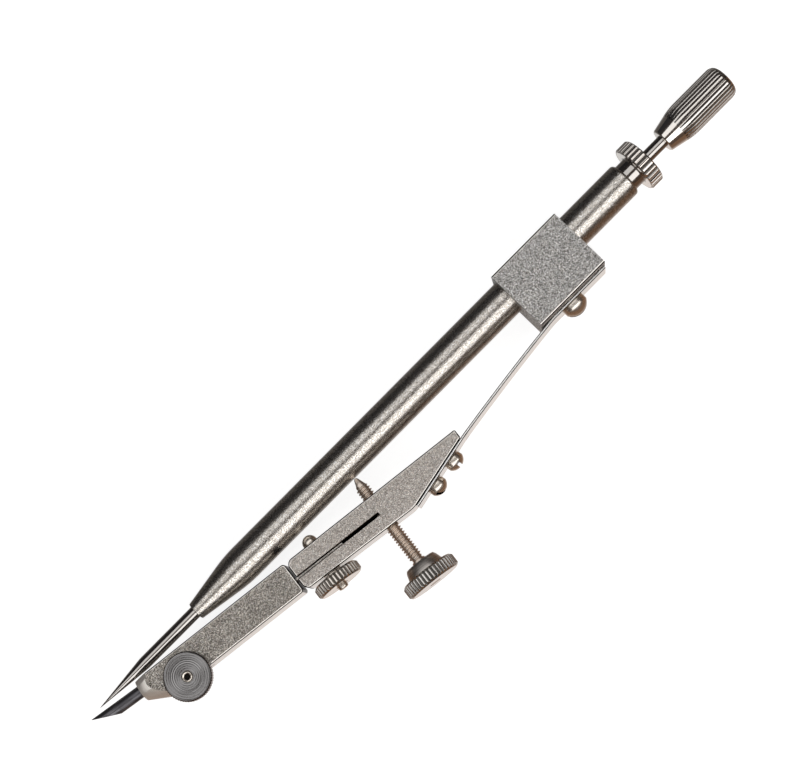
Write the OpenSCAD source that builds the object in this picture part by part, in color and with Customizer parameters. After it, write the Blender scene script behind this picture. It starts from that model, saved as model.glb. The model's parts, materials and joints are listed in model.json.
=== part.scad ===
// Drop bow compass, lying on its side.
// Pieces are drawn in the bow plane: x along the tube from the needle point,
// y from the tube out towards the arm, z up through both.

/* [Tube and rod] */
// Length from the needle point to the top of the handle
overall_length = 140; // [139:0.5:142]
// Outer diameter of the tube
tube_d = 6; // [5.9:0.05:6.1]
// Bore of the tube
tube_bore = 4.4; // [4.2:0.1:4.5]
// Distance from the needle point to the mouth of the tube's nose
nose_start = 21.3; // [20.5:0.1:22]
// Outer diameter at the mouth of the nose
nose_mouth_d = 3.1; // [2.9:0.1:3.3]
// Distance from the needle point to where the nose reaches the full diameter
nose_end = 32.5; // [32:0.5:34]
// Distance from the needle point to the top end of the tube
tube_top = 117.6; // [117:0.1:118]
// Diameter of the needle rod
rod_d = 2.1; // [1.9:0.05:2.1]
// Length of the rod's conical point
needle_cone = 9.8; // [9:0.1:10]
// How far the rod drops before the handle meets the collar
rod_gap = 4.05; // [4:0.05:4.4]

/* [Collar and handle] */
// Diameter of the knurled collar
collar_d = 8.4; // [8:0.1:8.6]
// Thickness of the knurled collar
collar_t = 2.45; // [2.2:0.05:2.6]
// Length of the collar's plain neck
collar_neck = 1.85; // [1.7:0.05:2.1]
// Diameter of the collar's plain neck
collar_neck_d = 4.85; // [4.7:0.05:5]
// Number of ridges on the collar
collar_teeth = 28; // [24:2:32]
// Diameter of the fluted handle
handle_d = 6; // [5.7:0.1:6.2]
// Diameter of the handle's small end
handle_small_d = 4.3; // [4.1:0.1:4.5]
// Length of the handle's smooth cone
handle_cone = 4.25; // [3.9:0.05:4.5]
// Number of flutes on the handle
handle_flutes = 28; // [24:2:32]

/* [Block and leaf spring] */
// Distance from the needle point to the block's lower end
block_start = 91.1; // [90.5:0.1:91.7]
// Length of the block along the tube
block_l = 14; // [13.6:0.1:14.2]
// Distance from the tube axis to the block's plain side
block_back = 3.4; // [3.4:0.05:3.7]
// Distance from the tube axis to the block's spring side
block_front = 7.65; // [7.5:0.05:7.8]
// Depth of the block
block_h = 9.6; // [9.6:0.1:10]
// Thickness of the leaf spring
leaf_t = 0.45; // [0.4:0.05:0.5]
// Width of the leaf spring
leaf_w = 5; // [4.6:0.1:5.2]
// Slope of the leaf spring against the tube where it leaves the block
leaf_rise = 6; // [5.8:0.1:6.2]
// Slope of the leaf spring against the tube where it reaches the arm
leaf_run = 8.7; // [8.5:0.1:8.9]
// Slope of the leaf spring against the tube where it lies on the arm
leaf_slope = 11.5; // [11.3:0.1:11.7]
// Distance along the tube over which the leaf spring bows between block and arm
leaf_bow_l = 21.2; // [20.9:0.1:21.5]
// Diameter of the block screw's head
block_screw_d = 4.2; // [4:0.1:4.4]
// Diameter of the spring screws' heads
spring_screw_d = 3.2; // [3:0.1:3.4]

/* [Arm] */
// Angle between the arm and the tube
arm_tilt = 7.06; // [6.9:0.02:7.2]
// Distance of the arm's line from the needle point
arm_gap = 0.3; // [0.25:0.05:0.4]
// Width of the arm across the bow where its seat begins
arm_w = 5.75; // [5.7:0.01:5.8]
// Width of the arm across the bow at its lower end
arm_foot_w = 5.46; // [5.4:0.02:5.5]
// Depth of the arm and leg
arm_h = 5.4; // [5.2:0.1:5.6]
// Distance of the arm's lower end along its line
arm_start = 37.15; // [37:0.05:37.4]
// Distance of the arm's upper end along its line
arm_end = 70.7; // [70:0.1:71]
// Distance from the arm's line to the middle of its slit
slit_at = 3.2; // [3.1:0.05:3.3]
// Width of the slit that takes the leg's tongue
slit_w = 0.68; // [0.64:0.02:0.8]
// Distance of the clamp screw along the arm's line
clamp_at = 41.9; // [41.5:0.1:42.2]
// Diameter of the knurled clamp nut
clamp_nut_d = 8.2; // [8:0.1:8.6]
// Number of ridges on the clamp nut
clamp_nut_teeth = 36; // [32:2:40]

/* [Adjusting screw] */
// Distance of the adjusting screw along the arm's line
screw_at = 53.66; // [53.5:0.02:53.9]
// Outer diameter of the thread
screw_d = 2.3; // [2.2:0.05:2.35]
// Pitch of the thread
screw_pitch = 0.5; // [0.5:0.05:0.6]
// Distance from the arm's line to the top of the knob's hub
hub_start = 12.85; // [12.8:0.01:13]
// Height of the knob's hub
hub_h = 1.7; // [1.5:0.02:1.8]
// Diameter of the knob's rim
knob_d = 9.5; // [9:0.1:9.5]
// Thickness of the knob's rim
knob_t = 2.25; // [2.1:0.05:2.6]
// Number of ridges on the knob
knob_teeth = 44; // [40:2:48]

/* [Pencil leg] */
// Distance of the lead's mouth along the arm's line
mouth_at = 6.85; // [6.75:0.05:7]
// Diameter of the round nose at the mouth
mouth_d = 3.8; // [3.6:0.1:4]
// Distance from the arm's line to the lead at the mouth
lead_offset = 1.68; // [1.66:0.01:1.75]
// Angle between the lead and the arm
lead_tilt = 2.2; // [2:0.1:2.4]
// Diameter of the lead
lead_d = 2; // [1.9:0.05:2]
// Length of lead that shows past the mouth
lead_out = 9.1; // [8.8:0.1:9.3]
// Length of the lead
lead_l = 21; // [20:0.5:21.5]
// Distance of the lead clamp along the arm's line
disc_at = 14.6; // [14.4:0.05:14.8]
// Distance from the arm's line to the lead clamp's axis
disc_offset = 4.85; // [4.75:0.05:4.95]
// Diameter of the disc nut
disc_d = 7.9; // [7.6:0.1:8.1]
// Thickness of the disc nut
disc_t = 1.5; // [1.3:0.1:1.6]

/* [Hidden] */
$fn = 64;

// Clearances of running fits and of pieces that are fixed together
running_gap = 0.04;
fixed_gap = 0.01;
face_gap = 0.05;
cut = 1;

tube_r = tube_d / 2;
bore_r = tube_bore / 2;
rod_r = rod_d / 2;
guide_r = rod_r + running_gap;
nose_gap = 0.15;
nose_bore_r = rod_r + nose_gap;
nose_blend_r = 26;
nose_blend_angle = 8.4;
nose_blend_step = 1.4;
tube_top_chamfer = [0.9, 0.6];
bore_taper = [31, 33.5];

guide_start = 34;
guide_l = 8;
guide_bevel = 0.2;

collar_start = tube_top + collar_neck;
collar_end = collar_start + collar_t;
spigot_l = 5;
spigot_r = bore_r - fixed_gap;
neck_r = collar_neck_d / 2;

handle_start = collar_end + rod_gap;
handle_r = handle_d / 2;
flutes_start = handle_start + handle_cone;
handle_round = [1.3, 0.8];
handle_cap = 2.5;
rod_end = overall_length - handle_cap;

ring_at = 105.2;
ring_l = 1;
ring_gap = 0.1;
ring_r = bore_r - ring_gap;
ring_split = 0.7;
groove_r = 0.8;

block_end = block_start + block_l;
block_bevel = 0.2;
block_screw_offset = 6.4;
block_screw_at = block_start + block_screw_offset;
block_screw_h = 2.1;
block_screw_hole = 3.6;
block_shank_d = 2;

leaf_angle = leaf_slope + arm_tilt;
leaf_lift = 2.9;
leaf_slopes = [0, leaf_rise, leaf_run, leaf_slope];
leaf_radii = [15, leaf_bow_l / (sin(leaf_run) - sin(leaf_rise)), 20];
leaf_steps = 4;
leaf_inset = 0.3;
leaf_top = block_end - leaf_inset;
leaf_foot = 0.5;
spring_screw_h = 1.8;
spring_shank_d = 1.5;
spring_shank_l = 2;
spring_screws = [4.9, 9.6];

arm_in = 0.15;
arm_out = arm_in + arm_w;
arm_foot_out = arm_in + arm_foot_w;
arm_corner_r = 1.1;
slit_rest = 0.25;
slit_end = screw_at - slit_rest;
clamp_shank_r = 0.85;
clamp_end = 8.75;
clamp_head = [[0, 0.95], [0.4, 1.25], [1.2, 1.25], [1.65, 0.8]];
clamp_hub_r = 1.58;
clamp_hub_h = 0.35;
clamp_nut_t = 1.95;

screw_r = screw_d / 2;
thread_depth = 0.3;
tip_r = 0.45;
tip_neck_r = 0.44;
tip_gap = 0.05;
tip_at = (tube_r + tip_gap + tip_r - arm_gap - screw_at * sin(arm_tilt)) / cos(arm_tilt);
thread_start = -2.2;
thread_turns = floor((hub_start - face_gap - thread_start) / screw_pitch);
journal_r = 0.8;
hub_r = [2.6, 2.85, 3.25];
rim_start = hub_start + hub_h;
rim_end = rim_start + knob_t;
rim_bevel = 0.4;

leg_gap = 0.3;
leg_end = arm_start - leg_gap;
leg_inset = [0.1, 0.15];
leg_in = arm_in - leg_inset[0];
leg_out = arm_foot_out - leg_inset[1];
nose_flare = 0.51;
lug_r = 2.4;
lead_bore_r = lead_d / 2 + running_gap;
lead_bore_rest = 1.2;
lead_bore_l = lead_l - lead_out + lead_bore_rest;
lead_chisel = 23;
lead_edge = 0.1;
clamp_slit = 0.5;
clamp_slit_end = 18.5;
tongue_t = 0.5;
tongue_w = 4.4;
tongue_end = 46;
tongue_slot_w = 2;
tongue_slot_gap = 0.25;
tongue_slot = clamp_at - clamp_shank_r - tongue_slot_gap;
disc_screw_r = 0.85;
disc_screw_head = [3.6, 1.4];
disc_bevel = 0.25;
disc_teeth = 60;
disc_base = arm_h / 2 + face_gap;
disc_stud = 0.25;

knurl_depth = 0.25;
collar_knurl = 0.3;
fine_knurl = 0.12;
slot_w = 0.6;
slot_depth = 0.45;
head_dome = 0.75;

// Where the lead's point, the collar and the knob reach to
lead_tip = [mouth_at - lead_out * cos(lead_tilt), lead_offset - lead_out * sin(lead_tilt) - lead_d / 2];
lead_tip_x = lead_tip[0] * cos(arm_tilt) - lead_tip[1] * sin(arm_tilt);
knob_edge = screw_at + knob_d / 2 - rim_bevel;
reach_y = knob_edge * sin(arm_tilt) + rim_end * cos(arm_tilt) + arm_gap;
middle_x = (overall_length + lead_tip_x) / 2;
middle_y = (reach_y - collar_d / 2) / 2;
axis_z = block_h / 2;

// Point of the leaf spring's inner face in one of its bends, where it has a given slope
function in_bend(i, slope) = (i == 0 ? [block_start + leaf_lift, block_front]
        : in_bend(i - 1, leaf_slopes[i]))
    + leaf_radii[i] * [sin(leaf_slopes[i]) - sin(slope), cos(leaf_slopes[i]) - cos(slope)];
leaf_root = in_bend(len(leaf_radii) - 1, leaf_slope);

// A point of the bow plane seen from the arm's own line
function on_arm(p) = [p[0] * cos(arm_tilt) + (p[1] - arm_gap) * sin(arm_tilt),
    (p[1] - arm_gap) * cos(arm_tilt) - p[0] * sin(arm_tilt)];
leaf_on_arm = on_arm(leaf_root);
function seat_y(x) = leaf_on_arm[1] + (leaf_on_arm[0] - x) * tan(leaf_angle) - fixed_gap;
seat_corner = leaf_on_arm[0] - (arm_out - leaf_on_arm[1] + fixed_gap) / tan(leaf_angle);

// Outer side of the arm, which widens from its lower end to its seat
arm_widening = (arm_out - arm_foot_out) / (seat_corner - arm_start - arm_corner_r);
function arm_side(x) = arm_foot_out + (x - arm_start - arm_corner_r) * arm_widening;

// Whole bow, set on its lowest face and centred
module in_bow() {
    translate([-middle_x, middle_y, axis_z]) mirror([0, 1, 0]) children();
}

// Arm's own line: x along the arm, y outwards
module in_arm() {
    in_bow() translate([0, arm_gap, 0]) rotate([0, 0, arm_tilt]) children();
}

// Turned piece on the tube's axis, from points of distance and radius
module turned(points) {
    rotate([0, 90, 0]) turned_up(points);
}

// Turned piece standing along z
module turned_up(points) {
    rotate_extrude() polygon([for (p = points) [p[1], p[0]]]);
}

// Axis that crosses the arm at a distance along it, pointing outwards
module across_arm(x) {
    in_arm() translate([x, 0, 0]) rotate([-90, 0, 0]) children();
}

// Straight ridges round a wheel with bevelled edges
module ridged_wheel(d, teeth, depth, thickness, bevel) {
    r = d / 2;
    intersection() {
        linear_extrude(thickness)
            polygon([for (i = [0 : 2 * teeth - 1]) (r - (i % 2) * depth)
                * [cos(180 * i / teeth), sin(180 * i / teeth)]]);
        turned_up([[0, 0], [0, r - bevel], [bevel + cut, r + cut], [thickness - bevel - cut, r + cut],
            [thickness, r - bevel], [thickness, 0]]);
    }
}

// Slotted screw along z with its head's underside at zero
module slotted_screw(head_d, head_h, shank_d, shank_l, slot_angle) {
    dome_r = head_d * head_dome;
    difference() {
        union() {
            intersection() {
                cylinder(d = head_d, h = head_h);
                translate([0, 0, head_h - dome_r]) sphere(dome_r);
            }
            translate([0, 0, -shank_l]) cylinder(d = shank_d, h = shank_l + head_h / 4);
        }
        rotate(slot_angle) translate([-head_d, -slot_w / 2, head_h * (1 - slot_depth)])
            cube([2 * head_d, slot_w, head_h]);
    }
}

// Places a screw on the leaf spring where it lies on the arm
module on_leaf(distance) {
    foot = [seat_corner, arm_out] + distance * [cos(leaf_angle), -sin(leaf_angle)];
    in_arm() translate([foot[0], foot[1], 0]) rotate([0, 0, -leaf_angle]) rotate([-90, 0, 0]) children();
}

module sleeve_tube() {
    arc = [for (a = [nose_blend_angle : -nose_blend_step : 0])
        [nose_end - nose_blend_r * sin(a), tube_r - nose_blend_r * (1 - cos(a))]];
    color("tan") in_bow() turned(concat(
        [[nose_start, nose_bore_r], [nose_start, nose_mouth_d / 2]],
        arc,
        [[tube_top - tube_top_chamfer[0], tube_r], [tube_top, tube_r - tube_top_chamfer[1]],
            [tube_top, bore_r], [bore_taper[1], bore_r], [bore_taper[0], nose_bore_r]]));
}

module guide_bush() {
    outer = bore_r - fixed_gap;
    ends = [guide_start, guide_start + guide_l];
    color("darkgoldenrod") in_bow() turned([[ends[0], guide_r], [ends[0], outer - guide_bevel],
        [ends[0] + guide_bevel, outer], [ends[1] - guide_bevel, outer], [ends[1], outer - guide_bevel],
        [ends[1], guide_r]]);
}

module collar_bush() {
    bevel = 0.25;
    shoulder = tube_top + fixed_gap;
    color("silver") in_bow() difference() {
        union() {
            turned([[tube_top - spigot_l, 0], [tube_top - spigot_l, spigot_r], [shoulder, spigot_r],
                [shoulder, neck_r], [collar_start + bevel, neck_r], [collar_start + bevel, 0]]);
            translate([collar_start, 0, 0]) rotate([0, 90, 0])
                ridged_wheel(collar_d, collar_teeth, collar_knurl, collar_t, bevel);
        }
        translate([tube_top - spigot_l - cut, 0, 0]) rotate([0, 90, 0])
            cylinder(r = guide_r, h = spigot_l + collar_neck + collar_t + 2 * cut);
    }
}

// Rectangle with its corners cut off
module bevelled(low, high, bevel) {
    polygon([[low[0] + bevel, low[1]], [high[0] - bevel, low[1]], [high[0], low[1] + bevel],
        [high[0], high[1] - bevel], [high[0] - bevel, high[1]], [low[0] + bevel, high[1]],
        [low[0], high[1] - bevel], [low[0], low[1] + bevel]]);
}

module spring_block() {
    half = block_h / 2;
    color("darkgray") in_bow() difference() {
        intersection() {
            translate([0, 0, -half]) linear_extrude(block_h)
                bevelled([block_start, -block_back], [block_end, block_front], block_bevel);
            translate([block_start, 0, 0]) rotate([0, 90, 0]) linear_extrude(block_l)
                bevelled([-half, -block_back], [half, block_front], block_bevel);
        }
        translate([block_start - cut, 0, 0]) rotate([0, 90, 0])
            cylinder(r = tube_r + fixed_gap, h = block_l + 2 * cut);
        translate([block_screw_at, block_front - block_screw_hole, 0]) rotate([-90, 0, 0])
            cylinder(d = block_shank_d + 2 * fixed_gap, h = block_screw_hole + cut);
    }
}

module block_screw() {
    slot_angle = 0;
    color("rosybrown") in_bow() translate([block_screw_at, block_front + leaf_t + fixed_gap, 0])
        rotate([-90, 0, 0])
            slotted_screw(block_screw_d, block_screw_h, block_shank_d, block_screw_hole, slot_angle);
}

module leaf_spring() {
    hole_gap = 2 * running_gap;
    foot_l = (leaf_on_arm[0] - seat_corner) / cos(leaf_angle) - leaf_foot;
    foot = foot_l * [-cos(leaf_slope), sin(leaf_slope)];
    // One face of the strip, from its upper end to its foot on the arm
    function face(offset) = concat([[leaf_top, block_front + offset]],
        [for (i = [0 : len(leaf_radii) - 1]) for (k = [min(i, 1) : leaf_steps])
            let (slope = leaf_slopes[i] + (leaf_slopes[i + 1] - leaf_slopes[i]) * k / leaf_steps)
            in_bend(i, slope) + offset * [sin(slope), cos(slope)]],
        [leaf_root + foot + offset * [sin(leaf_slope), cos(leaf_slope)]]);
    inner = face(0);
    outer = face(leaf_t);
    color("gainsboro") difference() {
        in_bow() translate([0, 0, -leaf_w / 2]) linear_extrude(leaf_w)
            polygon(concat(inner, [for (i = [len(outer) - 1 : -1 : 0]) outer[i]]));
        in_bow() translate([block_screw_at, block_front - cut, 0]) rotate([-90, 0, 0])
            cylinder(d = block_shank_d + hole_gap, h = leaf_t + 2 * cut);
        for (distance = spring_screws)
            on_leaf(distance) translate([0, 0, -cut])
                cylinder(d = spring_shank_d + hole_gap, h = leaf_t + 2 * cut);
    }
}

// Screw that holds the leaf spring on the arm's sloped seat
module spring_screw(distance, slot_angle) {
    color("rosybrown") on_leaf(distance) translate([0, 0, leaf_t + face_gap])
        slotted_screw(spring_screw_d, spring_screw_h, spring_shank_d, spring_shank_l, slot_angle);
}

module spring_screw_upper() {
    spring_screw(spring_screws[1], 90);
}

module spring_screw_lower() {
    spring_screw(spring_screws[0], 40);
}

module arm() {
    r = arm_corner_r;
    color("darkgray") difference() {
        in_arm() translate([0, 0, -arm_h / 2]) linear_extrude(arm_h) difference() {
            union() {
                polygon([[arm_start + r, arm_in], [arm_end, arm_in], [arm_end, seat_y(arm_end)],
                    [seat_corner, arm_out], [arm_start + r, arm_foot_out]]);
                translate([arm_start, arm_in + r]) square([2 * r, arm_foot_w - 2 * r]);
                for (y = [arm_in + r, arm_foot_out - r])
                    translate([arm_start + r, y]) circle(r);
            }
            translate([arm_start - cut, slit_at - slit_w / 2])
                square([slit_end - arm_start + cut, slit_w]);
        }
        across_arm(clamp_at) translate([0, 0, -cut])
            cylinder(r = clamp_shank_r + running_gap, h = arm_out + 2 * cut);
        across_arm(screw_at) translate([0, 0, -cut])
            cylinder(r = screw_r + running_gap, h = arm_out + 2 * cut);
        for (distance = spring_screws)
            on_leaf(distance) translate([0, 0, -spring_shank_l])
                cylinder(d = spring_shank_d + 2 * fixed_gap, h = spring_shank_l + cut);
    }
}

module clamp_screw() {
    chamfer = 0.3;
    head = [for (p = clamp_head) [arm_in - fixed_gap - p[0], p[1]]];
    color("rosybrown") across_arm(clamp_at) turned_up(concat(
        [[head[3][0], 0], head[3], head[2], head[1], head[0]],
        [[head[0][0], clamp_shank_r], [clamp_end - chamfer, clamp_shank_r],
            [clamp_end, clamp_shank_r - chamfer], [clamp_end, 0]]));
}

module clamp_nut() {
    base = arm_side(clamp_at + clamp_hub_r) + face_gap;
    bevel = 0.4;
    color("darkgray") across_arm(clamp_at) difference() {
        translate([0, 0, base]) union() {
            cylinder(r = clamp_hub_r, h = clamp_hub_h + bevel);
            translate([0, 0, clamp_hub_h])
                ridged_wheel(clamp_nut_d, clamp_nut_teeth, knurl_depth, clamp_nut_t, bevel);
        }
        cylinder(r = clamp_shank_r + running_gap, h = base + clamp_hub_h + clamp_nut_t + cut);
    }
}

module adjusting_screw() {
    root_r = screw_r - thread_depth;
    thread = [for (i = [0 : thread_turns - 1]) each
        [[thread_start + i * screw_pitch, root_r], [thread_start + (i + 0.5) * screw_pitch, screw_r]]];
    thread_end = thread_start + thread_turns * screw_pitch;
    color("rosybrown") across_arm(screw_at) union() {
        translate([0, 0, tip_at]) sphere(tip_r);
        turned_up(concat([[tip_at, 0], [tip_at, tip_neck_r]], thread,
            [[thread_end, journal_r], [rim_end, journal_r], [rim_end, 0]]));
    }
}

module adjusting_knob() {
    shoulder = 0.4;
    color("darkgray") across_arm(screw_at) difference() {
        union() {
            turned_up([[hub_start, 0], [hub_start, hub_r[0]], [hub_start + shoulder, hub_r[1]],
                [rim_start, hub_r[2]], [rim_start + rim_bevel, hub_r[2]], [rim_start + rim_bevel, 0]]);
            translate([0, 0, rim_start]) ridged_wheel(knob_d, knob_teeth, knurl_depth, knob_t, rim_bevel);
        }
        translate([0, 0, hub_start - cut])
            cylinder(r = journal_r + running_gap, h = hub_h + knob_t + 2 * cut);
    }
}

// Lead's own axis: z from the mouth into the leg
module along_lead() {
    in_arm() translate([mouth_at, lead_offset, 0]) rotate([0, 0, lead_tilt]) rotate([0, 90, 0]) children();
}

module pencil_leg() {
    far = leg_end - mouth_at + cut;
    color("darkgray") difference() {
        union() {
            intersection() {
                in_arm() translate([0, 0, -arm_h / 2]) linear_extrude(arm_h) union() {
                    translate([mouth_at - cut, leg_in]) square([leg_end - mouth_at + cut, leg_out - leg_in]);
                    translate([disc_at, disc_offset]) circle(lug_r);
                }
                along_lead() cylinder(r1 = mouth_d / 2, r2 = mouth_d / 2 + nose_flare * far, h = far + cut);
            }
            in_arm() translate([leg_end - cut, slit_at - tongue_t / 2, -tongue_w / 2])
                cube([tongue_end - leg_end + cut, tongue_t, tongue_w]);
        }
        in_arm() translate([tongue_slot, slit_at - cut, -tongue_slot_w / 2])
            cube([tongue_end, 2 * cut, tongue_slot_w]);
        along_lead() translate([0, 0, -cut]) cylinder(r = lead_bore_r, h = lead_bore_l + cut);
        in_arm() translate([disc_at, disc_offset, -arm_h])
            cylinder(r = disc_screw_r + fixed_gap, h = 2 * arm_h);
        in_arm() translate([mouth_at - cut, lead_offset, -clamp_slit / 2])
            cube([clamp_slit_end - mouth_at + cut, 2 * arm_w, clamp_slit]);
    }
}

module lead() {
    color("dimgray") along_lead() translate([0, 0, -lead_out]) difference() {
        cylinder(d = lead_d, h = lead_l);
        translate([-lead_d, lead_edge - lead_d / 2, 0]) rotate([-lead_chisel, 0, 0])
            cube([2 * lead_d, 4 * lead_d, 4 * lead_d]);
    }
}

module lead_clamp_screw() {
    slot_angle = 60;
    top = disc_base + disc_t + disc_stud;
    dimple = 0.35;
    color("rosybrown") in_arm() translate([disc_at, disc_offset, 0]) difference() {
        translate([0, 0, -arm_h / 2 - fixed_gap]) mirror([0, 0, 1])
            slotted_screw(disc_screw_head[0], disc_screw_head[1], 2 * disc_screw_r,
                top + arm_h / 2 + fixed_gap, slot_angle);
        translate([0, 0, top - dimple]) cylinder(r1 = 0, r2 = disc_screw_r * 0.6, h = dimple);
    }
}

module lead_clamp_nut() {
    color("gray") in_arm() translate([disc_at, disc_offset, disc_base]) difference() {
        ridged_wheel(disc_d, disc_teeth, fine_knurl, disc_t, disc_bevel);
        translate([0, 0, -cut]) cylinder(r = disc_screw_r + running_gap, h = disc_t + 2 * cut);
    }
}

module needle_rod() {
    groove = [ring_at - ring_l / 2 - face_gap, ring_at + ring_l / 2 + face_gap];
    color("silver") in_bow() turned([[0, 0], [needle_cone, rod_r], [groove[0], rod_r],
        [groove[0], groove_r], [groove[1], groove_r], [groove[1], rod_r], [rod_end, rod_r], [rod_end, 0]]);
}

module handle() {
    small_r = handle_small_d / 2;
    lip = 0.35;
    shoulder_r = handle_r + 2 * fixed_gap;
    flutes_l = overall_length - flutes_start;
    color("silver") in_bow() difference() {
        union() {
            turned([[handle_start, 0], [handle_start, small_r - lip], [handle_start + lip, small_r],
                [flutes_start, shoulder_r], [flutes_start + lip, handle_r - 2 * knurl_depth],
                [flutes_start + lip, 0]]);
            intersection() {
                translate([flutes_start, 0, 0]) rotate([0, 90, 0]) linear_extrude(flutes_l)
                    polygon([for (i = [0 : 2 * handle_flutes - 1])
                        (handle_r - (i % 2) * knurl_depth)
                            * [cos(180 * i / handle_flutes), sin(180 * i / handle_flutes)]]);
                turned([[flutes_start, 0], [flutes_start, handle_r + cut],
                    [overall_length - handle_round[0], handle_r + fixed_gap],
                    [overall_length - handle_round[0] / 3, handle_r - handle_round[1] / 3],
                    [overall_length, handle_r - handle_round[1]], [overall_length, 0]]);
            }
        }
        translate([handle_start - cut, 0, 0]) rotate([0, 90, 0])
            cylinder(r = rod_r + fixed_gap, h = rod_end - handle_start + cut);
    }
}

module stop_ring() {
    color("slategray") in_bow() translate([ring_at - ring_l / 2, 0, 0]) difference() {
        rotate([0, 90, 0]) cylinder(r = ring_r, h = ring_l);
        translate([-cut, 0, 0]) rotate([0, 90, 0]) cylinder(r = groove_r + running_gap, h = ring_l + 2 * cut);
        translate([-cut, -ring_split / 2, 0]) cube([ring_l + 2 * cut, ring_split, 2 * ring_r]);
    }
}

sleeve_tube();
guide_bush();
collar_bush();
spring_block();
block_screw();
leaf_spring();
spring_screw_upper();
spring_screw_lower();
arm();
clamp_screw();
clamp_nut();
adjusting_screw();
adjusting_knob();
pencil_leg();
lead();
lead_clamp_screw();
lead_clamp_nut();
needle_rod();
handle();
stop_ring();
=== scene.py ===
import json
import math

import bmesh
import bpy
from mathutils import Matrix, Vector


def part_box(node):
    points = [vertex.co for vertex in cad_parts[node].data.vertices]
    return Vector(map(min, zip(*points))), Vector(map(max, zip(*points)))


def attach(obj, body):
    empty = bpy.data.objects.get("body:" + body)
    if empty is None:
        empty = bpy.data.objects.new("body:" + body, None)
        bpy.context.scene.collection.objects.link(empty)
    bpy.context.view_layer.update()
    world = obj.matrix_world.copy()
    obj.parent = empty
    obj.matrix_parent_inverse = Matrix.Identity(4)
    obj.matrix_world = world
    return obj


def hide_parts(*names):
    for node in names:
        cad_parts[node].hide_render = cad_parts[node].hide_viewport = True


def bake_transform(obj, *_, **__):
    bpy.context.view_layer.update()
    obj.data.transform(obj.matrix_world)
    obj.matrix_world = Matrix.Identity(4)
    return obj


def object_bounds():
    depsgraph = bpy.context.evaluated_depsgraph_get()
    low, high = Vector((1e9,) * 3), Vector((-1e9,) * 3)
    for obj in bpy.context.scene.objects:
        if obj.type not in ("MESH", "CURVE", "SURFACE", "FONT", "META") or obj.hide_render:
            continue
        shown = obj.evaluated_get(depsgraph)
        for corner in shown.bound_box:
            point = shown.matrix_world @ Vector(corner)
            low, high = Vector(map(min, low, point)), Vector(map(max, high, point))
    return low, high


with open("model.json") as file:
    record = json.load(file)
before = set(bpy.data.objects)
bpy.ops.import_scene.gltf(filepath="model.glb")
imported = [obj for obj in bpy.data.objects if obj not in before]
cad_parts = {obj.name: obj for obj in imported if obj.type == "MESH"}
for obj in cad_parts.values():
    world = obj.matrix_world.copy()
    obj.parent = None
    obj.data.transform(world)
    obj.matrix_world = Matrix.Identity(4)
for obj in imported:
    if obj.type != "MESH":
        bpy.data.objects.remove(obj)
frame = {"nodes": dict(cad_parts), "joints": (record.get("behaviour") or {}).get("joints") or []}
cad_low, cad_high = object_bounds()

# Sizes of the bow are in millimetres and angles in degrees, as on a maker's drawing
MM = 0.001

# Needle rod, tube, collar and handle, measured along the tube from the needle point
ROD_R = 1.05
NEEDLE_CONE = 9.8
ROD_END = 137.5
RING_GROOVE = (104.65, 105.75)
RING_GROOVE_R = 0.8
TUBE_R = 3.0
TUBE_BORE_R = 2.2
NOSE_START = 21.3
NOSE_MOUTH_R = 1.55
NOSE_BORE_R = 1.2
NOSE_END = 32.5
NOSE_BLEND_R = 26
NOSE_BLEND_ANGLE = 8.4
TUBE_TOP = 117.6
SPIGOT_START = 112.6
SPIGOT_R = 2.19
NECK_R = 2.425
COLLAR = (119.45, 121.9)
COLLAR_R = 4.2
COLLAR_RIDGES = 28
COLLAR_KNURL = 0.3
HANDLE = (125.95, 140.0)
HANDLE_SMALL_R = 2.15
HANDLE_R = 3.0
HANDLE_CONE = 4.25
HANDLE_FLUTES = 28
RUNNING_GAP = 0.04
FACE_GAP = 0.05
KNURL_DEPTH = 0.25
KNURL_SHARPNESS = 2.1

# Spring block and leaf spring
BLOCK = (91.1, 105.1)
BLOCK_SIDES = (-3.4, 7.65)
BLOCK_HALF = 4.8
BLOCK_SCREW_AT = 97.5
LEAF_T = 0.45
LEAF_HALF_W = 2.5
LEAF_TOP = 104.8
LEAF_LIFT = 94.0
LEAF_BENDS = ((15, 6.0), (453.7, 8.7), (20, 11.5))
LEAF_STEPS = 12
LEAF_FOOT = 0.5
SPRING_SCREWS = {"spring_screw_lower": 4.9, "spring_screw_upper": 9.6}

# Arm, measured along its own line
ARM_GAP = 0.3
ARM = (37.15, 70.7)
ARM_SIDES = (0.15, 5.9)
ARM_FOOT_OUT = 5.61
ARM_HALF = 2.7
ARM_CORNER_R = 1.1
SLIT_AT = 3.2
SLIT_HALF = 0.27
SLIT_END = 53.41
CLAMP_AT = 41.9
CLAMP_SHANK_R = 0.85
CLAMP_NUT_R = 4.1
CLAMP_NUT_RIDGES = 36
SCREW_AT = 53.66
SCREW_R = 1.15
SCREW_ROOT_R = 0.85
SCREW_PITCH = 0.5
JOURNAL_R = 0.8
KNOB_HUB = (12.85, 14.55)
KNOB_RIM = (14.55, 16.8)
KNOB_R = 4.75
KNOB_RIDGES = 44

# Pencil leg and its clamp, measured along the arm's line
LEG = (6.85, 36.85)
LEG_SIDES = (0.05, 5.46)
MOUTH_R = 1.9
MOUTH_OFFSET = 1.68
NOSE_FLARE = 0.51
LEAD_TILT = 2.2
LEAD_R = 1.0
LEAD = (-9.1, 11.9)
LEAD_BORE_END = 13.1
LEAD_CHISEL = 23
LEAD_EDGE = 0.1
LUG = (14.6, 4.85)
LUG_R = 2.4
DISC_R = 3.95
DISC = (2.75, 4.25)
DISC_RIDGES = 60
DISC_SCREW_R = 0.85

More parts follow.
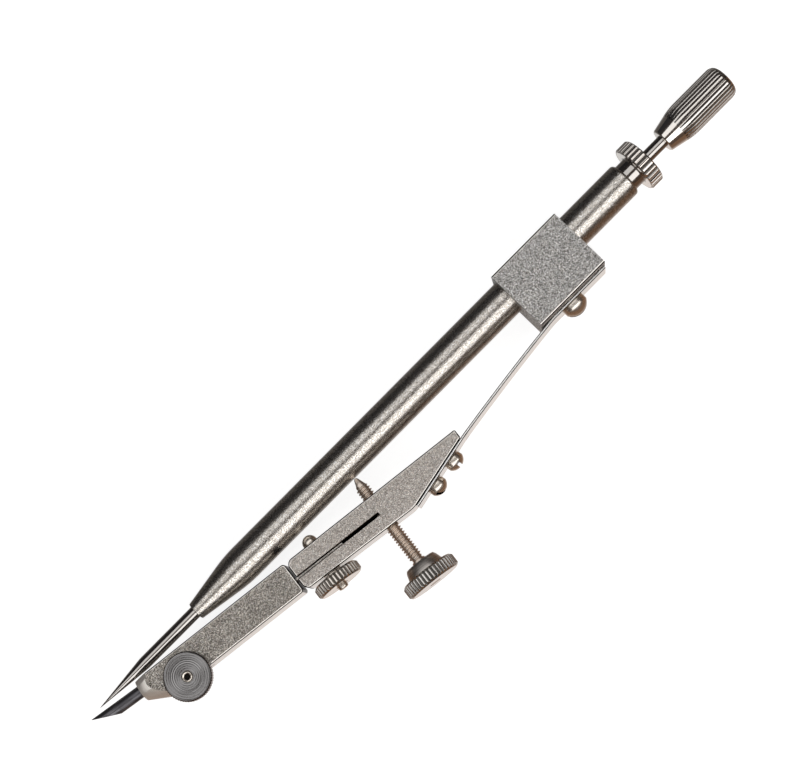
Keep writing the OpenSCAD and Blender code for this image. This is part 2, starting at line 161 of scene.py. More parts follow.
# Directions and places of the bow, taken from the frame
joints = {joint["name"]: joint for joint in frame["joints"]}
rod_low, rod_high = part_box("needle_rod")
NEEDLE_POINT = Vector((rod_low.x, (rod_low.y + rod_high.y) / 2, (rod_low.z + rod_high.z) / 2))
UP = Vector((0, 0, 1))
ALONG_TUBE = Vector((1, 0, 0))
OUTWARD = Vector((0, -1, 0))
ALONG_ARM = -Vector(joints["leg_slide"]["axis"])
ACROSS_ARM = -Vector(joints["knob_turn"]["axis"])


def bow(along, out=0.0, up=0.0):
    """Point of the bow, from the needle point."""
    return NEEDLE_POINT + (ALONG_TUBE * along + OUTWARD * out + UP * up) * MM


def on_arm(along, out=0.0, up=0.0):
    """Point of the arm and the leg, along the arm's own line."""
    return bow(0, ARM_GAP) + (ALONG_ARM * along + ACROSS_ARM * out + UP * up) * MM


def axis_at(origin, direction):
    """Place of a turned piece, whose own z runs along the direction and whose x points up."""
    z = direction.normalized()
    side = UP if abs(z.z) < 0.9 else ALONG_TUBE
    x = (side - z * side.dot(z)).normalized()
    return Matrix.Translation(origin) @ Matrix((x, z.cross(x), z)).transposed().to_4x4()


def across_arm(along):
    """Axis of a piece that crosses the arm."""
    return axis_at(on_arm(along), ACROSS_ARM)


def swung(vector, degrees):
    """Direction of the bow plane, turned from the tube towards the arm's side."""
    return Matrix.Rotation(math.radians(-degrees), 3, "Z") @ vector


TUBE_AXIS = axis_at(bow(0), ALONG_TUBE)
ALONG_LEAD = swung(ALONG_ARM, LEAD_TILT)
ACROSS_LEAD = swung(ACROSS_ARM, LEAD_TILT)
LEAD_AXIS = axis_at(on_arm(LEG[0], MOUTH_OFFSET), ALONG_LEAD)


def leaf_stations():
    """Places along the strip's inner face through its bends: along the tube, out and slope."""
    along, out, slope = LEAF_LIFT, BLOCK_SIDES[1], 0.0
    stations = [(along, out, slope)]
    for radius, reached in LEAF_BENDS:
        first = math.radians(slope)
        for i in range(1, LEAF_STEPS + 1):
            degrees = slope + (reached - slope) * i / LEAF_STEPS
            a = math.radians(degrees)
            step = (radius * (math.sin(first) - math.sin(a)), radius * (math.cos(first) - math.cos(a)))
            stations.append((along + step[0], out + step[1], degrees))
        along, out, slope = stations[-1]
    return stations


# The strip through its bends, and the seat on the arm that it runs down to
LEAF_STATIONS = leaf_stations()
LEAF_ROOT = bow(*LEAF_STATIONS[-1][:2])
LEAF_SLOPE = LEAF_STATIONS[-1][2]
ALONG_SEAT = swung(ALONG_TUBE, -LEAF_SLOPE)
OFF_SEAT = swung(OUTWARD, -LEAF_SLOPE)
root_from_arm = (LEAF_ROOT - on_arm(0)) / MM
SEAT_SLOPE = ALONG_SEAT.dot(ACROSS_ARM) / ALONG_SEAT.dot(ALONG_ARM)


def seat_height(along):
    """Height of the sloped seat over the arm's line."""
    return root_from_arm.dot(ACROSS_ARM) + (along - root_from_arm.dot(ALONG_ARM)) * SEAT_SLOPE


SEAT_CORNER = root_from_arm.dot(ALONG_ARM) + (ARM_SIDES[1] - root_from_arm.dot(ACROSS_ARM)) / SEAT_SLOPE
SEAT_START = on_arm(SEAT_CORNER, ARM_SIDES[1])
LEAF_REACH = (LEAF_ROOT - SEAT_START).length / MM - LEAF_FOOT
SIDE_START = ARM[0] + ARM_CORNER_R
SIDE_SLOPE = (ARM_SIDES[1] - ARM_FOOT_OUT) / (SEAT_CORNER - SIDE_START)


def arm_side(along):
    """Height of the arm's outer side, which widens towards the seat."""
    return ARM_FOOT_OUT + (along - SIDE_START) * SIDE_SLOPE


# Node graphs

class Graph:
    """Adds nodes to a tree. A node or a socket feeds an input, and anything else is set on it."""

    def __init__(self, tree):
        self.tree = tree

    def feed(self, socket, source):
        if isinstance(source, bpy.types.Node):
            source = source.outputs[0]
        if isinstance(source, bpy.types.NodeSocket):
            self.tree.links.new(source, socket)
        else:
            socket.default_value = source

    def add(self, kind, inputs=None, **settings):
        node = self.tree.nodes.new(kind)
        for name, value in settings.items():
            setattr(node, name, value)
        for name, source in (inputs or {}).items():
            self.feed(node.inputs[name], source)
        return node

    def calc(self, operation, *terms, clamp=False):
        return self.add("ShaderNodeMath", dict(enumerate(terms)), operation=operation, use_clamp=clamp)

    def vector(self, operation, *terms):
        return self.add("ShaderNodeVectorMath", dict(enumerate(terms)), operation=operation)

    def dot(self, vector, direction):
        return self.vector("DOT_PRODUCT", vector, direction).outputs["Value"]

    def scaled(self, vector, factor):
        return self.add("ShaderNodeVectorMath", {0: vector, "Scale": factor}, operation="SCALE")

    def mixed(self, share, first, second):
        """Mix of two colours. The Mix node's colours are its inputs 6 and 7 and its output 2."""
        inputs = {"Factor": share, 6: first, 7: second}
        return self.add("ShaderNodeMix", inputs, data_type="RGBA").outputs[2]

    def group(self, tree, inputs):
        return self.add(self.tree.bl_idname.replace("Tree", "Group"), inputs, node_tree=tree)


def bare_graph(owner):
    """Empty node graph of a material or a world."""
    owner.use_nodes = True
    owner.node_tree.nodes.clear()
    return Graph(owner.node_tree)


def floats(*names):
    """Sockets that take plain numbers."""
    return dict.fromkeys(names, "Float")


def new_group(name, kind, inputs, outputs):
    """Empty node group with named sockets, with its graph, its inputs and its output node."""
    tree = bpy.data.node_groups.new(name, kind)
    for socket, form in inputs.items():
        tree.interface.new_socket(socket, in_out="INPUT", socket_type="NodeSocket" + form)
    for socket, form in outputs.items():
        tree.interface.new_socket(socket, in_out="OUTPUT", socket_type="NodeSocket" + form)
    graph = Graph(tree)
    given = graph.add("NodeGroupInput").outputs
    result = graph.add("NodeGroupOutput")
    return tree, graph, given, result


# Turned and threaded shapes

MERGE_DISTANCE = 1e-6


def spun_grid(graph, given):
    """Grid with a column for each outline point and a row for each step round the axis."""
    points = graph.add("GeometryNodeAttributeDomainSize", {"Geometry": given["Outline"]}, component="MESH")
    rows = graph.calc("ADD", given["Steps"], 1.0)
    grid = graph.add("GeometryNodeMeshGrid", {"Vertices X": points, "Vertices Y": rows})
    index = graph.add("GeometryNodeInputIndex")
    column = graph.calc("FLOOR", graph.calc("DIVIDE", graph.calc("ADD", index, 0.5), rows))
    row = graph.calc("SUBTRACT", index, graph.calc("MULTIPLY", column, rows))
    point = graph.add(
        "GeometryNodeSampleIndex",
        {"Geometry": given["Outline"], "Value": graph.add("GeometryNodeInputPosition"), "Index": column},
        data_type="FLOAT_VECTOR",
    )
    outline = graph.add("ShaderNodeSeparateXYZ", {0: point}).outputs
    share = graph.calc("DIVIDE", row, given["Steps"])
    return grid, outline["X"], outline["Z"], share


def close_turning(graph, given, result, grid, radius, angle, height):
    """Sets the grid round the axis, closes its seam and gives it its finish."""
    x = graph.calc("MULTIPLY", radius, graph.calc("COSINE", angle))
    y = graph.calc("MULTIPLY", radius, graph.calc("SINE", angle))
    place = graph.add("ShaderNodeCombineXYZ", {0: x, 1: y, 2: height})
    shaped = graph.add("GeometryNodeSetPosition", {"Geometry": grid, "Position": place})
    closed = graph.add("GeometryNodeMergeByDistance", {"Geometry": shaped, "Distance": MERGE_DISTANCE})
    real = graph.add("GeometryNodeRealizeInstances", {"Geometry": closed})
    finished = graph.add("GeometryNodeSetMaterial", {"Geometry": real, "Material": given["Finish"]})
    graph.feed(result.inputs[0], finished)


def turning_tree():
    """Turns an outline round its axis and cuts straight flutes down from the crest."""
    tree, graph, given, result = new_group(
        "turning",
        "GeometryNodeTree",
        {"Outline": "Geometry", "Finish": "Material", "Steps": "Int", "Flutes": "Int"}
        | floats("Crest", "Depth", "Sharpness"),
        {"Turning": "Geometry"},
    )
    grid, radius, height, share = spun_grid(graph, given)
    angle = graph.calc("MULTIPLY", share, 2 * math.pi)
    wave = graph.calc("COSINE", graph.calc("MULTIPLY", angle, given["Flutes"]))
    groove = graph.calc("POWER", graph.calc("MULTIPLY_ADD", wave, -0.5, 0.5), given["Sharpness"])
    floor = graph.calc("SUBTRACT", given["Crest"], graph.calc("MULTIPLY", groove, given["Depth"]))
    close_turning(graph, given, result, grid, graph.calc("MINIMUM", radius, floor), angle, height)
    return tree


def thread_tree():
    """Winds a ridge round an axis. It rises out of the root and sinks back over the run-out."""
    tree, graph, given, result = new_group(
        "thread",
        "GeometryNodeTree",
        {"Outline": "Geometry", "Finish": "Material", "Steps": "Int"}
        | floats("Turns", "Pitch", "Root", "Run Out"),
        {"Thread": "Geometry"},
    )
    grid, radius, height, share = spun_grid(graph, given)
    turn = graph.calc("MULTIPLY", share, given["Turns"])
    left = graph.calc("SUBTRACT", given["Turns"], turn)
    rise = graph.calc("DIVIDE", graph.calc("MINIMUM", turn, left), given["Run Out"], clamp=True)
    ridge = graph.calc("MULTIPLY_ADD", graph.calc("SUBTRACT", radius, given["Root"]), rise, given["Root"])
    angle = graph.calc("MULTIPLY", turn, 2 * math.pi)
    wound = graph.calc("MULTIPLY_ADD", turn, given["Pitch"], height)
    close_turning(graph, given, result, grid, ridge, angle, wound)
    return tree


TURNING = turning_tree()
THREAD = thread_tree()


def stood(data):
    """Object in the scene that holds a mesh, a lamp or a camera."""
    obj = bpy.data.objects.new(data.name, data)
    bpy.context.scene.collection.objects.link(obj)
    return obj


def worked(obj):
    """Plain mesh of an object with its modifiers. The object goes."""
    bpy.context.view_layer.update()
    mesh = bpy.data.meshes.new_from_object(obj.evaluated_get(bpy.context.evaluated_depsgraph_get()))
    source = obj.data
    obj.modifiers.clear()
    bpy.data.objects.remove(obj)
    bpy.data.meshes.remove(source)
    return mesh


def grown(tree, outline, place, inputs):
    """Mesh that a tree makes from an outline of (along, radius) points."""
    base = bpy.data.meshes.new("outline")
    base.from_pydata([(radius * MM, 0, along * MM) for along, radius in outline], [], [])
    obj = stood(base)
    modifier = obj.modifiers.new(tree.name, "NODES")
    modifier.node_group = tree
    for socket in tree.interface.items_tree:
        if socket.name in inputs:
            modifier[socket.identifier] = inputs[socket.name]
    mesh = worked(obj)
    mesh.transform(place)
    mesh.materials.clear()
    mesh.materials.append(inputs["Finish"])
    return mesh


def fluted(outline, place, finish, flutes, crest, depth, sharpness=1.0, fineness=16):
    """Turned piece with straight flutes cut down from a crest, each in a number of steps."""
    return grown(TURNING, outline, place, {
        "Steps": flutes * fineness,
        "Flutes": flutes,
        "Crest": crest * MM,
        "Depth": depth * MM,
        "Sharpness": sharpness,
        "Finish": finish,
    })


def turned(outline, place, finish, steps=96):
    """Turned piece without flutes."""
    crest = max(radius for _, radius in outline)
    plain = {"Flutes": 0, "Crest": crest * MM, "Depth": 0.0, "Sharpness": 1.0}
    return grown(TURNING, outline, place, plain | {"Steps": steps, "Finish": finish})


def drill(low, high, radius, place, finish, steps=48):
    """Round tool for a hole."""
    return turned([(low, 0), (low, radius), (high, radius), (high, 0)], place, finish, steps)


# Outlines

def fan(start, end, count):
    """Evenly spread angles, in radians."""
    return [math.radians(start + (end - start) * i / count) for i in range(count + 1)]


def arc(centre, radius, start, end, count=8):
    """Points of an arc, from one angle to another."""
    x, y = centre
    return [(x + radius * math.cos(a), y + radius * math.sin(a)) for a in fan(start, end, count)]


def straight(start, end, count):
    """Evenly spread points of a line."""
    return [tuple(s + (e - s) * i / count for s, e in zip(start, end)) for i in range(count + 1)]


def rounded(before, corner, after, count):
    """Points of a curve that rounds a corner."""
    return [
        tuple((1 - t) ** 2 * a + 2 * t * (1 - t) * b + t ** 2 * c for a, b, c in zip(before, corner, after))
        for t in (i / count for i in range(count + 1))
    ]


def rim(ends, radius, bevel):
    """Outline of a knurled rim, with its bevels set closely enough to show the ridges running out."""
    low, high = ends
    count = 10
    rising = straight((low, radius - bevel), (low + bevel, radius), count)
    return rising + straight((high - bevel, radius), (high, radius - bevel), count)


def wheel(foot, ends, radius, bevel, mouth):
    """Outline of a knurled wheel over a foot that starts on its bore. The bore opens at the far end."""
    bore_r = foot[0][1]
    high = ends[1]
    return foot + rim(ends, radius, bevel) + [(high, bore_r + mouth), (high - mouth, bore_r), foot[0]]


def box_outline(low, high):
    """Corners of a box."""
    return [low, (high[0], low[1]), high, (low[0], high[1])]


def rounded_box(low, high, radius, count):
    """Outline of a box with round corners."""
    (left, bottom), (right, top) = low, high
    middles = [(right - radius, top - radius), (left + radius, top - radius)]
    middles += [(left + radius, bottom + radius), (right - radius, bottom + radius)]
    outline = []
    for quarter, middle in enumerate(middles):
        outline += arc(middle, radius, 90 * quarter, 90 * quarter + 90, count)
    return outline


# Flat shapes

RUN_PAST = 1.0

# Painted shade: edge lines and dark ends go by a face's slope
EDGE_LINE = (0.1, 0.9)
DARK_END = 0.3


def mesh_of(shape, *finishes):
    """Mesh of a bmesh, faces outwards, with its finishes."""
    bmesh.ops.recalc_face_normals(shape, faces=shape.faces)
    mesh = bpy.data.meshes.new("shape")
    shape.to_mesh(mesh)
    shape.free()
    for finish in finishes:
        mesh.materials.append(finish)
    return mesh


def lofted(rings, *finishes):
    """Closed mesh through rings of the same number of points."""
    shape = bmesh.new()
    rows = [[shape.verts.new(point) for point in ring] for ring in rings]
    for low, high in zip(rows, rows[1:]):
        for i in range(len(low)):
            shape.faces.new((low[i - 1], low[i], high[i], high[i - 1]))
    shape.faces.new(rows[0])
    shape.faces.new(rows[-1])
    return mesh_of(shape, *finishes)


def plate(outline, place, half, *finishes):
    """Flat piece from an outline, half its thickness either way."""
    return lofted([[place(a, b, side) for a, b in outline] for side in (-half, half)], *finishes)


def edged(mesh, width, segments=3, angle=30):
    """Mesh with its edges rounded, in its second finish."""
    obj = stood(mesh)
    modifier = obj.modifiers.new("edges", "BEVEL")
    modifier.width = width * MM
    modifier.segments = segments
    modifier.limit_method = "ANGLE"
    modifier.angle_limit = math.radians(angle)
    modifier.material = 1
    return worked(obj)


def lined(mesh, dark_end=None):
    """Mesh with a dark line of painted shade along the outer half of its rounded edges, which are in its
    second finish.

    Where the direction of a dark end is given, faces turned that way take painted shade and the other sides
    take the second finish.
    """
    low, high = EDGE_LINE
    mesh.materials.append(EDGE_SHADE)
    dark = len(mesh.materials) - 1
    for face in mesh.polygons:
        rise = abs(face.normal.z)
        if face.material_index == 1 and low < rise < high:
            face.material_index = dark
        elif dark_end and rise < low:
            face.material_index = dark if face.normal.dot(dark_end) > DARK_END else 1
    return mesh


def squared_bar(outline, finish, dark_end):
    """Square bar of the arm or the leg, with rounded bright edges, edge lines of painted shade and one end
    in painted shade.
    """
    edge = 0.28
    return lined(edged(plate(outline, on_arm, ARM_HALF, finish, POLISHED_EDGE), edge), dark_end)


def carved(mesh, tool, operation="DIFFERENCE"):
    """Mesh cut by a tool, or kept inside it. The tool goes."""
    obj, knife = stood(mesh), stood(tool)
    modifier = obj.modifiers.new("carving", "BOOLEAN")
    modifier.operation = operation
    modifier.object = knife
    modifier.material_mode = "TRANSFER"
    result = worked(obj)
    bpy.data.objects.remove(knife)
    bpy.data.meshes.remove(tool)
    return result


def piece(name, slot, node, *meshes, sharp=32):
    """One shown object made of meshes that are in place, which stands for a CAD node."""
    shape = bmesh.new()
    finishes = []
    for mesh in meshes:
        first = len(shape.faces)
        for finish in mesh.materials:
            if finish not in finishes:
                finishes.append(finish)
        slots = [finishes.index(finish) for finish in mesh.materials]
        shape.from_mesh(mesh)
        shape.faces.ensure_lookup_table()
        for face in shape.faces[first:]:
            face.material_index = slots[face.material_index]
        bpy.data.meshes.remove(mesh)
    smooth = mesh_of(shape, *finishes)
    smooth.shade_smooth()
    smooth.set_sharp_from_angle(angle=math.radians(sharp))
    rough = stood(smooth)
    rough.modifiers.new("flat_faces", "WEIGHTED_NORMAL").keep_sharp = True
    result = worked(rough)
    shown = stood(result)
    shown.name = result.name = name
    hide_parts(node)
    return shown


# Finishes

def grain_group():
    """Satin or blasted grain: uneven colour, gloss and height, with brighter grains among the rest."""
    tree, graph, given, result = new_group(
        "satin_grain",
        "ShaderNodeTree",
        {"Colour": "Color", "Place": "Vector"} | floats("Scale", "Contrast", "Roughness", "Spread"),
        {"Colour": "Color"} | floats("Roughness", "Height"),
    )
    spark_power = 3.0
    spark_height = 0.4
    darkest = 0.1
    sized = {"Vector": given["Place"], "Scale": given["Scale"]}
    soft = graph.add("ShaderNodeTexNoise", sized | {"Detail": 3.0})
    cells = graph.add("ShaderNodeTexVoronoi", sized)
    cell = graph.add("ShaderNodeSeparateColor", {"Color": cells.outputs["Color"]})
    spark = graph.calc("POWER", cell, spark_power)
    uneven = graph.calc("SUBTRACT", graph.calc("MULTIPLY_ADD", soft, 0.5, spark), 0.5)
    shade = graph.calc("MAXIMUM", graph.calc("MULTIPLY_ADD", uneven, given["Contrast"], 1.0), darkest)
    graph.feed(result.inputs["Colour"], graph.scaled(given["Colour"], shade))
    swing = graph.calc("SUBTRACT", soft, 0.5)
    gloss = graph.calc("MULTIPLY_ADD", swing, given["Spread"], given["Roughness"])
    graph.feed(result.inputs["Roughness"], gloss)
    graph.feed(result.inputs["Height"], graph.calc("MULTIPLY_ADD", spark, spark_height, soft))
    return tree


def haze_group():
    """Handling haze: soft patches and hairlines that dull a polished face."""
    tree, graph, given, result = new_group(
        "handling_haze",
        "ShaderNodeTree",
        {"Place": "Vector"} | floats("Roughness", "Amount"),
        floats("Roughness"),
    )
    patch_scale = 220.0
    hairline_scale = (300.0, 4000.0, 4000.0)
    place = given["Place"]
    patches = graph.add("ShaderNodeTexNoise", {"Vector": place, "Scale": patch_scale, "Detail": 4.0})
    streaks = graph.vector("MULTIPLY", place, hairline_scale)
    hairlines = graph.add("ShaderNodeTexNoise", {"Vector": streaks, "Scale": 1.0, "Detail": 2.0})
    haze = graph.calc("MULTIPLY", patches, hairlines)
    dulled = graph.calc("MULTIPLY_ADD", haze, given["Amount"], given["Roughness"])
    graph.feed(result.inputs["Roughness"], dulled)
    return tree


def rings_group():
    """Fine rings left by the lathe, by distance along an axis or from a centre."""
    tree, graph, given, result = new_group(
        "lathe_rings",
        "ShaderNodeTree",
        {"Colour": "Color"} | floats("Distance", "Pitch", "Contrast"),
        {"Colour": "Color"} | floats("Height"),
    )
    turn = graph.calc("DIVIDE", given["Distance"], given["Pitch"])
    rings = graph.add("ShaderNodeTexNoise", {"W": turn, "Scale": 1.0, "Detail": 3.0}, noise_dimensions="1D")
    shade = graph.calc("MULTIPLY_ADD", graph.calc("SUBTRACT", rings, 0.5), given["Contrast"], 1.0)
    graph.feed(result.inputs["Colour"], graph.scaled(given["Colour"], shade))
    graph.feed(result.inputs["Height"], rings)
    return tree


def flute_shade_group():
    """Painted shade in the bottoms of straight flutes round an axis, outside a start radius."""
    tree, graph, given, result = new_group(
        "flute_shade",
        "ShaderNodeTree",
        floats("X", "Y", "Flutes", "Start", "Sharpness", "Amount"),
        floats("Unshaded"),
    )
    x, y = given["X"], given["Y"]
    angle = graph.calc("ARCTAN2", y, x)
    wave = graph.calc("COSINE", graph.calc("MULTIPLY", angle, given["Flutes"]))
    groove = graph.calc("POWER", graph.calc("MULTIPLY_ADD", wave, -0.5, 0.5), given["Sharpness"])
    square = graph.calc("MULTIPLY_ADD", x, x, graph.calc("MULTIPLY", y, y))
    outside = graph.calc("GREATER_THAN", graph.calc("SQRT", square), given["Start"])
    painted_shade = graph.calc("MULTIPLY", graph.calc("MULTIPLY", groove, outside), given["Amount"])
    graph.feed(result.inputs["Unshaded"], graph.calc("SUBTRACT", 1.0, painted_shade))
    return tree


GRAIN = grain_group()
HAZE = haze_group()
RINGS = rings_group()
FLUTE_SHADE = flute_shade_group()
FLUTE_SHADE_SHARPNESS = 1.3


def new_finish(name, metallic=1.0):
    """Empty finish with its graph, its shader and its place on the piece."""
    material = bpy.data.materials.new(name)
    material.use_nodes = True
    graph = Graph(material.node_tree)
    shader = material.node_tree.nodes["Principled BSDF"]
    shader.inputs["Metallic"].default_value = metallic
    return material, graph, shader, graph.add("ShaderNodeTexCoord").outputs["Object"]


def raise_surface(graph, shader, height, depth):
    """Bump of a depth in millimetres."""
    bump = graph.add("ShaderNodeBump", {"Height": height, "Strength": 1.0, "Distance": depth * MM})
    graph.feed(shader.inputs["Normal"], bump)


def lay_grain(graph, shader, place, colour, roughness, contrast, size, spread=0.1):
    """Gives a shader a grain of a size in millimetres. What comes back is the grain's height."""
    skin = graph.group(GRAIN, {
        "Colour": (*colour, 1.0),
        "Place": place,
        "Scale": 1 / (size * MM),
        "Contrast": contrast,
        "Roughness": roughness,
        "Spread": spread,
    })
    graph.feed(shader.inputs["Base Color"], skin.outputs["Colour"])
    graph.feed(shader.inputs["Roughness"], skin.outputs["Roughness"])
    return skin.outputs["Height"]


def grained_metal(name, colour, roughness, contrast, depth, size=0.07):
    """Satin or blasted metal."""
    material, graph, shader, place = new_finish(name)
    height = lay_grain(graph, shader, place, colour, roughness, contrast, size)
    raise_surface(graph, shader, height, depth)
    return material


def shaded_flutes(flutes, start, amount):
    """Flutes whose bottoms are darkened by painted shade, from a start radius outwards."""
    return {"Flutes": flutes, "Start": start * MM, "Sharpness": FLUTE_SHADE_SHARPNESS, "Amount": amount}


def turned_metal(
    name, colour, roughness, axis, pitch=0.2, contrast=0.25, depth=0.002, haze=0.2, radial=False, flutes=None
):
    """Polished or turned metal, with lathe rings along its axis or round its centre."""
    material, graph, shader, place = new_finish(name)
    from_axis = graph.vector("SUBTRACT", place, axis.translation)
    direction = axis.col[2].to_3d()
    if radial:
        flat = graph.vector("CROSS_PRODUCT", from_axis, direction)
        distance = graph.vector("LENGTH", flat).outputs["Value"]
    else:
        distance = graph.dot(from_axis, direction)
    rings = graph.group(RINGS, {
        "Distance": distance,
        "Pitch": pitch * MM,
        "Colour": (*colour, 1.0),
        "Contrast": contrast,
    })
    dulled = graph.group(HAZE, {"Place": place, "Roughness": roughness, "Amount": haze})
    skin = rings.outputs["Colour"]
    # Painted shade darkens the bottoms of the flutes
    if flutes:
        x, y = (graph.dot(from_axis, axis.col[side].to_3d()) for side in (0, 1))
        unshaded = graph.group(FLUTE_SHADE, flutes | {"X": x, "Y": y})
        skin = graph.scaled(skin, unshaded)
    graph.feed(shader.inputs["Base Color"], skin)
    graph.feed(shader.inputs["Roughness"], dulled.outputs["Roughness"])
    raise_surface(graph, shader, rings.outputs["Height"], depth)
    return material


def painted_slit_shade():
    """Near-black finish painted as shade deep in a narrow slit or hole."""
    material, graph, shader, place = new_finish("slit_shade", metallic=0.0)
    shader.inputs["Specular IOR Level"].default_value = 0.0
    lay_grain(graph, shader, place, (0.012, 0.011, 0.01), roughness=0.9, contrast=0.5, size=0.125)
    return material


def pencil_graphite():
    """Grey-blue lead with a soft sheen and streaks along it."""
    material, graph, shader, place = new_finish("pencil_graphite", metallic=0.9)
    stretch = 0.12
    along = graph.calc("MULTIPLY", graph.dot(place, ALONG_LEAD), stretch)
    across, up = graph.dot(place, ACROSS_LEAD), graph.dot(place, UP)
    streaks = graph.add("ShaderNodeCombineXYZ", {0: along, 1: across, 2: up})
    colour = (0.13, 0.128, 0.138)
    height = lay_grain(graph, shader, streaks, colour, roughness=0.42, contrast=0.9, size=0.2, spread=0.2)
    raise_surface(graph, shader, height, depth=0.01)
    return material


KNOB_AXIS = across_arm(SCREW_AT)
CLAMP_AXIS = across_arm(CLAMP_AT)
DISC_AXIS = axis_at(on_arm(*LUG), UP)

SATIN_TUBE = grained_metal("satin_tube", (0.60, 0.56, 0.51), 0.27, contrast=2.0, depth=0.004, size=0.08)
BLASTED_BLOCK = grained_metal("blasted_block", (0.59, 0.565, 0.53), 0.5, contrast=4.6, depth=0.006)
BLASTED_LEG = grained_metal("blasted_leg", (0.38, 0.35, 0.315), 0.5, contrast=3.2, depth=0.005)
SATIN_ARM = grained_metal("satin_arm", (0.52, 0.475, 0.435), 0.48, contrast=2.2, depth=0.004)
POLISHED_EDGE = grained_metal(
    "polished_edge", (0.78, 0.75, 0.71), 0.12, contrast=0.2, depth=0.002, size=0.25
)
# Near-black finish that paints shade on edge lines, dark ends and slot walls
EDGE_SHADE = grained_metal("edge_shade", (0.03, 0.028, 0.026), 0.3, contrast=0.3, depth=0.002, size=0.13)
SLIT_SHADE = painted_slit_shade()
TURNED_NOSE = turned_metal("turned_nose", (0.97, 0.94, 0.89), 0.55, LEAD_AXIS, pitch=0.12, depth=0.004)
BRIGHT_ROD = turned_metal(
    "bright_rod", (0.5, 0.478, 0.455), 0.1, TUBE_AXIS, pitch=0.25, contrast=0.12, depth=0.001, haze=0.1
)
BRIGHT_HANDLE = turned_metal(
    "bright_handle", (0.82, 0.78, 0.735), 0.1, TUBE_AXIS, contrast=0.15, depth=0.001, haze=0.1,
    flutes=shaded_flutes(HANDLE_FLUTES, start=2.7, amount=0.89),
)
BRIGHT_COLLAR = turned_metal(
    "bright_collar", (0.93, 0.875, 0.82), 0.1, TUBE_AXIS, contrast=0.15, depth=0.001, haze=0.1,
    flutes=shaded_flutes(COLLAR_RIDGES, start=3.8, amount=0.9),
)
SCREW_NICKEL = turned_metal("screw_nickel", (0.86, 0.80, 0.72), 0.25, KNOB_AXIS, haze=0.1)
KNOB_NICKEL = turned_metal(
    "knob_nickel", (0.72, 0.70, 0.67), 0.16, KNOB_AXIS, haze=0.1,
    flutes=shaded_flutes(KNOB_RIDGES, start=4.4, amount=0.76),
)
NUT_NICKEL = turned_metal(
    "nut_nickel", (0.79, 0.74, 0.68), 0.16, CLAMP_AXIS, haze=0.1,
    flutes=shaded_flutes(CLAMP_NUT_RIDGES, start=3.75, amount=0.8),
)
SPINDLE_NICKEL = turned_metal("spindle_nickel", (0.78, 0.69, 0.61), 0.32, KNOB_AXIS)
DULL_HUB = turned_metal(
    "dull_hub", (0.52, 0.49, 0.46), 0.34, KNOB_AXIS, pitch=0.25, contrast=1.0, depth=0.008
)
DISC_STEEL = turned_metal(
    "disc_steel", (0.25, 0.245, 0.245), 0.17, DISC_AXIS, pitch=0.16, contrast=1.7, depth=0.018, radial=True
)
SPRING_STRIP = grained_metal("spring_strip", (0.80, 0.785, 0.76), 0.16, contrast=0.2, depth=0.003, size=0.25)
STRIP_EDGE = grained_metal("strip_edge", (0.95, 0.94, 0.92), 0.42, contrast=0.6, depth=0.003, size=0.1)
RING_STEEL = grained_metal("ring_steel", (0.45, 0.46, 0.48), 0.3, contrast=0.3, depth=0.003, size=0.2)
GUIDE_BRASS = turned_metal("guide_brass", (0.72, 0.52, 0.25), 0.25, TUBE_AXIS, contrast=0.2, depth=0.003)
GRAPHITE = pencil_graphite()


# Pieces on the tube's axis

def make_tube():
    """Long tube with a tapered nose, a rolled lip at its mouth and a rounded top."""
    lip_r = 0.14
    top_r = 0.6
    bore_taper = (31.0, 33.5)
    outline = [(bore_taper[1], TUBE_BORE_R), (bore_taper[0], NOSE_BORE_R), (NOSE_START, NOSE_BORE_R)]
    outline += arc((NOSE_START + lip_r, NOSE_MOUTH_R - lip_r), lip_r, 180, 90)
    outline += [
        (NOSE_END - NOSE_BLEND_R * math.sin(a), TUBE_R - NOSE_BLEND_R * (1 - math.cos(a)))
        for a in fan(NOSE_BLEND_ANGLE, 0, 8)
    ]
    outline += arc((TUBE_TOP - top_r, TUBE_R - top_r), top_r, 90, 0)
    outline += [(TUBE_TOP, TUBE_BORE_R), outline[0]]
    return piece("tube", "tube_nickel", "sleeve_tube", turned(outline, TUBE_AXIS, SATIN_TUBE, steps=128))


def make_collar():
    """Knurled collar on a plain neck, with the spigot that guides the rod inside the tube."""
    bevel = 0.25
    fillet = 0.25
    mouth = 0.3
    bore_r = ROD_R + RUNNING_GAP
    outline = [(SPIGOT_START, bore_r), (SPIGOT_START, SPIGOT_R), (TUBE_TOP, SPIGOT_R), (TUBE_TOP, NECK_R)]
    outline += arc((COLLAR[0] - fillet, NECK_R + fillet), fillet, -90, 0)
    outline += [(COLLAR[0] + bevel, NECK_R + fillet), (COLLAR[0] + bevel, bore_r), outline[0]]
    neck = turned(outline, TUBE_AXIS, BRIGHT_ROD)
    outline = wheel([(COLLAR[0], bore_r)], COLLAR, COLLAR_R, bevel, mouth)
    knurled = fluted(
        outline, TUBE_AXIS, BRIGHT_COLLAR, COLLAR_RIDGES, COLLAR_R, COLLAR_KNURL, sharpness=2.3, fineness=20
    )
    return piece("collar", "bright_nickel", "collar_bush", neck, knurled)


def make_needle_rod():
    """Straight rod with a slim conical point and a groove for the stop ring."""
    point = (0.06, 0.035)
    blend = 0.25
    cone = NEEDLE_CONE - blend
    outline = [(0, 0), point, (cone, ROD_R * cone / NEEDLE_CONE), (NEEDLE_CONE + blend, ROD_R)]
    outline += [(RING_GROOVE[0], ROD_R), (RING_GROOVE[0], RING_GROOVE_R)]
    outline += [(RING_GROOVE[1], RING_GROOVE_R), (RING_GROOVE[1], ROD_R), (ROD_END, ROD_R), (ROD_END, 0)]
    return piece("needle", "bright_nickel", "needle_rod", turned(outline, TUBE_AXIS, BRIGHT_ROD, steps=64))


